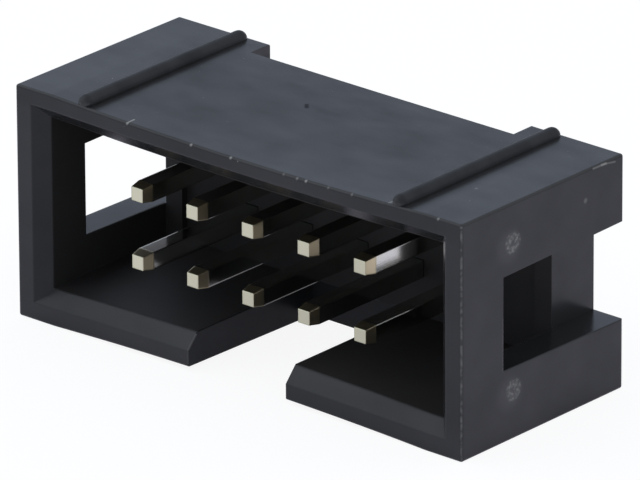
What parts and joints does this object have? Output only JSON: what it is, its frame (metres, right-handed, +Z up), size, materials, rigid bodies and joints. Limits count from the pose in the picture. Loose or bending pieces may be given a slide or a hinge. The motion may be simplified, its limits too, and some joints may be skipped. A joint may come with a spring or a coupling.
{
  "type": "idc box header",
  "caption": "Straight shrouded board connector: a keyed black plastic box around two rows of square gold-flashed pins, for a flat cable socket.",
  "frame": {"origin": "middle of the pin field, in the plane where the housing's feet meet the board", "axes": "+X along the two rows of pins, +Y out of the board side, the way the solder tails point, +Z up from the keyed long wall, on which the part lies"},
  "size_m": [0.0204, 0.0116, 0.009],
  "materials": {
    "housing_plastic": "moulded glass-filled PBT, near black, satin with a fine spark-eroded grain",
    "pin_plating": "square brass wire with a thin pale gold flash, bright on the swaged ends"
  },
  "bodies": {
    "root": {"housing": "housing_plastic", "pin_01": "pin_plating", "pin_02": "pin_plating", "pin_03": "pin_plating", "pin_04": "pin_plating", "pin_05": "pin_plating", "pin_06": "pin_plating", "pin_07": "pin_plating", "pin_08": "pin_plating", "pin_09": "pin_plating", "pin_10": "pin_plating"}
  },
  "joints": []
}
